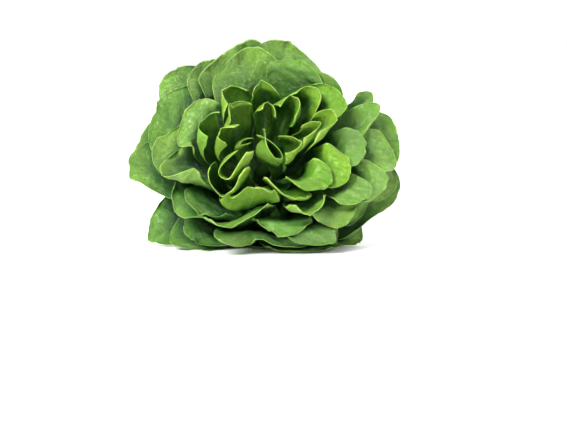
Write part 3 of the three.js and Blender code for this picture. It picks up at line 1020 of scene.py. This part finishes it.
def leaf_material(name, fresh, deep, rim_and_highlight_strength, pale_mm, specular):
    n = Nodes(name)
    across, along, uv = leaf_places(n)
    where = n.tree.nodes.new("ShaderNodeTexCoord").outputs["Object"]
    drift = n.noise(uv, DRIFT_SCALE, 2.0)
    share = n.field("length_share")
    under = n.field("under")
    rim_mm = n.field("rim_mm")

    side = side_vein_lines(n, across, along, drift)
    bent = n.tree.nodes.new("ShaderNodeVectorMath")
    bent.operation = "ADD"
    n.link(uv, bent.inputs[0])
    n.link(drift, bent.inputs[1])
    net = n.map(n.cracks(bent.outputs[0], NET_SCALE), 0.0, NET_WIDTH, 1.0, 0.0)
    fine_net = n.map(n.cracks(bent.outputs[0], FINE_NET_SCALE), 0.0, FINE_NET_WIDTH, 1.0, 0.0)

    patches = n.map(n.noise(where, PATCH_SCALE, 4.0), *NOISE_SPAN, *PATCH_SHARES)
    inner = n.map(rim_mm, 0.0, DEEP_MM, *DEEP_SHARES)
    green = n.blend(n.math("ADD", inner, patches, clamp=True), fresh, deep)
    heart_share = n.map(n.field("tone"), 0.0, HEART_TINT_END, HEART_TINT, 0.0)
    green = n.blend(heart_share, green, HEART_GREEN)
    green = n.blend(n.math("MULTIPLY", under, UNDER_TINT), green, UNDER_GREEN)
    veins = n.math("MULTIPLY", side, SIDE_SEEN)
    veins = n.math("MAXIMUM", veins, n.math("MULTIPLY", net, NET_SEEN))
    veins = n.math("MAXIMUM", veins, n.math("MULTIPLY", fine_net, FINE_NET_SEEN))
    colour = n.blend(veins, green, VEIN_GREEN)

    rib_width = n.map(share, 0.0, 1.0, *RIB_LINES)
    rib = n.map(n.math("ABSOLUTE", across), 0.0, rib_width, 1.0, 0.0)
    rib = n.math("MULTIPLY", rib, n.map(share, *RIB_SPAN, *RIB_SEEN))
    foot = n.math("ADD", along, n.math("MULTIPLY", n.math("SUBTRACT", drift, 0.5), DRIFT_MM))
    pale = n.map(foot, 5.0, pale_mm, 1.0, 0.0)
    pale = n.math("MULTIPLY", pale, n.map(under, 0.0, 1.0, *PALE_FACES))
    pale = n.math("MAXIMUM", pale, rib)
    colour = n.blend(n.math("MULTIPLY", pale, 0.92), colour, PALE_GREEN)
    colour = n.blend(n.map(foot, 0.0, 26.0, 0.7, 0.0), colour, PALE_FOOT)

    # A pale rim that is partly the leaf's own yellower edge and partly a painted highlight, broken
    # by noise
    rim = n.map(rim_mm, 0.0, RIM_AND_HIGHLIGHT_MM, rim_and_highlight_strength, 0.0)
    rim = n.math("MULTIPLY", rim, n.map(share, 0.15, 0.4))
    gaps = n.map(n.noise(where, RIM_GAP_SCALE, 3.0), 0.35, 0.65, 0.3, 1.0)
    rim = n.math("MULTIPLY", rim, gaps)
    colour = n.blend(rim, colour, RIM_GREEN_AND_HIGHLIGHT)
    n.link(lit_colour(n, colour, where), n.shader.inputs["Base Color"])

    speckle = n.noise(where, SPECKLE_SCALE, 2.0)
    n.link(n.map(speckle, *NOISE_SPAN, *LEAF_ROUGHNESS), n.shader.inputs["Roughness"])
    n.settings(
        Specular_IOR_Level=specular,
        Subsurface_Weight=0.12,
        Subsurface_Radius=(0.5, 1.0, 0.15),
        Subsurface_Scale=0.002,
    )

    relief = [(side, SIDE_GROOVE), (net, NET_GROOVE), (fine_net, FINE_NET_GROOVE)]
    for scale, detail, weight in RELIEF_NOISES:
        relief.append((n.noise(where, scale, detail), weight))
    n.bump(n.weighed(relief), 0.8, 0.0009)
    return n.material


# Where the ring of vessels in the cut starts and ends, by shares of the radius
RING_STARTS = (0.62, 0.72)
RING_ENDS = (0.74, 0.86)


def stem_material():
    n = Nodes("stem_flesh")
    where = n.tree.nodes.new("ShaderNodeTexCoord").outputs["Object"]
    blotch = n.map(n.noise(where, 90.0, 4.0), 0.35, 0.7)
    grain = n.noise(where, 600.0, 3.0)
    out = n.field("radius_share")
    cut = n.field("cut")
    inside = n.field("inside")

    colour = n.blend(blotch, STEM_FLESH, STEM_BLOTCH)
    ring = n.math("MULTIPLY", n.map(out, *RING_STARTS), n.map(out, *RING_ENDS, 1.0, 0.0))
    ring = n.math("MULTIPLY", n.math("MULTIPLY", ring, cut), 0.6)
    colour = n.blend(ring, colour, VESSELS)
    # The stem's top, deep inside the head, is painted dark green as shade
    colour = n.blend(n.map(inside, 0.0, 1.0), colour, STEM_SHADE_GREEN)
    edge = n.math("MULTIPLY", n.map(out, 0.86, 1.0), cut)
    edge = n.math("MULTIPLY", edge, n.map(grain, *NOISE_SPAN, 0.3, 0.8))
    colour = n.blend(edge, colour, CUT_EDGE)
    n.link(colour, n.shader.inputs["Base Color"])

    matt = n.math("MULTIPLY", inside, 0.5)
    rough = n.math("ADD", n.map(blotch, 0.0, 1.0, 0.42, 0.5), matt)
    n.link(rough, n.shader.inputs["Roughness"])
    n.settings(
        Specular_IOR_Level=0.25,
        Subsurface_Weight=0.2,
        Subsurface_Radius=(1.0, 0.9, 0.5),
        Subsurface_Scale=0.003,
    )
    n.bump(n.math("ADD", grain, n.math("MULTIPLY", blotch, 0.5)), 0.4, 0.0005)
    return n.material


# The cut face, by shares of the radius and heights over the cut, with a little sunken pith
CUT_FACE = [
    (0.0, 0.5),
    (0.25, 0.45),
    (0.5, 0.25),
    (0.66, 0.05),
    (0.76, 0.0),
    (0.84, 0.12),
    (0.92, 0.2),
]
CUT_FACE_INSET = 0.6

# The rounded edge of the cut: how far inside the radius, how high, and how much it is still cut
CUT_ROUND = [
    (0.35, 0.55, 0.6),
    (0.05, 1.6, 0.0),
]

# The body's rings and the crown's, by shares of the way up
STEM_FINE_SIDES = 72
STEM_FINE_RINGS = 22
BODY_START = 0.06
CROWN_RINGS = (0.35, 0.7, 0.9, 1.0)
STEM_DOME = 4.4
STEM_FIT = 0.995
# How far up the stem its painted shade grows from none to full
STEM_SHADE_FROM = 25.0

# Ridges down the stem: how many, their size as a share of the radius, where they start, and how
# they turn with the height. They stand out of the radius by WIDEST_RIDGE at the most
RIDGES = ((5, 0.012, 0.3, 0.0), (11, 0.008, 0.0, 0.2))
WIDEST_RIDGE = 1.01


# Rings of the fine stem: radius, height, how much it belongs to the cut, share of the radius
def stem_rings():
    low, top = stem_low, STEM_HEIGHT
    rings = [((STEM_RADIUS - CUT_FACE_INSET) * r, low + h, 1.0, r) for r, h in CUT_FACE]
    rings += [(STEM_RADIUS - inset, low + h, cut, 1.0) for inset, h, cut in CUT_ROUND]
    for share in np.linspace(BODY_START, 1, STEM_FINE_RINGS):
        height = mix(low, top, share)
        rings.append((float(stem_radius(1 - height / top)), height, 0.0, 1.0))
    for share in CROWN_RINGS:
        rise = share * math.pi / 2
        radius = float(stem_radius(0.0)) * math.cos(rise)
        rings.append((radius, top + STEM_DOME * math.sin(rise), 0.0, 1.0))
    return rings


# The stem: a tapering body with a cut face and slight ridges
def build_stem(material):
    sides = STEM_FINE_SIDES
    turn = np.linspace(0, 2 * math.pi, sides, endpoint=False)
    rings = stem_rings()
    points = []
    for radius, height, face, _ in rings:
        bulge = 1.0
        for count, size, start, twist in RIDGES:
            bulge = bulge + size * np.sin(count * turn + (start + height * twist))
        r = radius * np.minimum(bulge, 1.0 if face else WIDEST_RIDGE) * STEM_FIT
        points.append(stem_ring(r, height, turn))
    faces = []
    for k in range(len(rings) - 1):
        for j in range(sides):
            a, b = k * sides + j, k * sides + (j + 1) % sides
            faces.append((a, b, b + sides, a + sides))
    heights, cut, out = (np.repeat([ring[i] for ring in rings], sides) for i in (1, 2, 3))
    fields = {
        "cut": cut,
        "radius_share": out,
        # Where painted shade darkens the stem, growing upwards
        "inside": smooth(0.0, STEM_SHADE_FROM, heights),
    }
    points = np.concatenate(points) + SHIFT
    piece = make_mesh("lettuce_stem", points, faces, fields, None, material)
    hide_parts("stem")


heart = leaf_material(
    "heart_leaf",
    fresh=(0.15, 0.31, 0.004, 1),
    deep=(0.055, 0.20, 0.003, 1),
    rim_and_highlight_strength=0.8,
    pale_mm=36.0,
    specular=0.42,
)
outside = leaf_material(
    "outer_leaf",
    fresh=(0.116, 0.268, 0.010, 1),
    deep=(0.050, 0.165, 0.008, 1),
    rim_and_highlight_strength=0.6,
    pale_mm=66.0,
    specular=0.75,
)
find_openings()
for index, leaf in enumerate(leaves):
    if index < HEART_LEAVES:
        build_leaf(index + 1, leaf, heart)
    else:
        build_leaf(index + 1, leaf, outside)
build_stem(stem_material())


# Stage, light and camera, in metres

MIDDLE = (0.0, -0.02, 0.10)
FLOOR_HALF = 6.0
KEY_PLACE = (-0.8, -1.25, 1.1)
KEY_SPREAD = 26
KEY_STRENGTH = 5.6
BACK_PLACE = (0.7, 1.2, 1.0)
BACK_SPREAD = 60
BACK_STRENGTH = 1.6
SKY_STRENGTH = 1.0
FLOOR_WHITES = ((0.93, 0.93, 0.93, 1), (0.95, 0.95, 0.95, 1))


def build_floor():
    n = Nodes("studio_white")
    where = n.tree.nodes.new("ShaderNodeTexCoord").outputs["Object"]
    tint = n.map(n.noise(where, 3.0, 2.0), 0.2, 0.8)
    n.link(n.blend(tint, *FLOOR_WHITES), n.shader.inputs["Base Color"])
    n.settings(Roughness=0.7, Specular_IOR_Level=0.2)
    mesh = bpy.data.meshes.new("studio_floor")
    far = FLOOR_HALF
    corners = [(-far, -far, 0), (far, -far, 0), (far, far, 0), (-far, far, 0)]
    mesh.from_pydata(corners, [], [(0, 1, 2, 3)])
    mesh.materials.append(n.material)
    floor = bpy.data.objects.new("studio_floor", mesh)
    bpy.context.collection.objects.link(floor)


def aim(thing, target):
    thing.rotation_mode = "QUATERNION"
    way = Vector(target) - thing.location
    thing.rotation_quaternion = way.to_track_quat("-Z", "Y")


def add_sun(name, place, spread_degrees, strength):
    data = bpy.data.lights.new(name, "SUN")
    data.angle = math.radians(spread_degrees)
    data.energy = strength
    light = bpy.data.objects.new(name, data)
    light.location = place
    bpy.context.collection.objects.link(light)
    aim(light, MIDDLE)


build_floor()
add_sun("key", KEY_PLACE, KEY_SPREAD, KEY_STRENGTH)
add_sun("back", BACK_PLACE, BACK_SPREAD, BACK_STRENGTH)

world = bpy.data.worlds.new("studio")
world.use_nodes = True
sky = world.node_tree.nodes["Background"]
sky.inputs["Color"].default_value = (1, 1, 1, 1)
sky.inputs["Strength"].default_value = SKY_STRENGTH
bpy.context.scene.world = world
bpy.context.scene.view_settings.view_transform = "Standard"

# The photograph's frame: 567 by 425 pixels at 1.057 pixels to the millimetre, with the head left
# of its middle and above it
FRAME_PX = 567
PX_PER_M = 1057.0
RIGHT_SHIFT_PX = 19.5
DOWN_SHIFT_PX = 66.5
DISTANCE = 1.5
ELEVATION = math.radians(4)
data = bpy.data.cameras.new("camera")
data.lens = data.sensor_width * DISTANCE * PX_PER_M / FRAME_PX
data.shift_x = RIGHT_SHIFT_PX / FRAME_PX
data.shift_y = -DOWN_SHIFT_PX / FRAME_PX
camera = bpy.data.objects.new("camera", data)
bpy.context.collection.objects.link(camera)
back = Vector((0, -math.cos(ELEVATION), math.sin(ELEVATION)))
camera.location = Vector(MIDDLE) + back * DISTANCE
aim(camera, MIDDLE)
bpy.context.scene.camera = camera
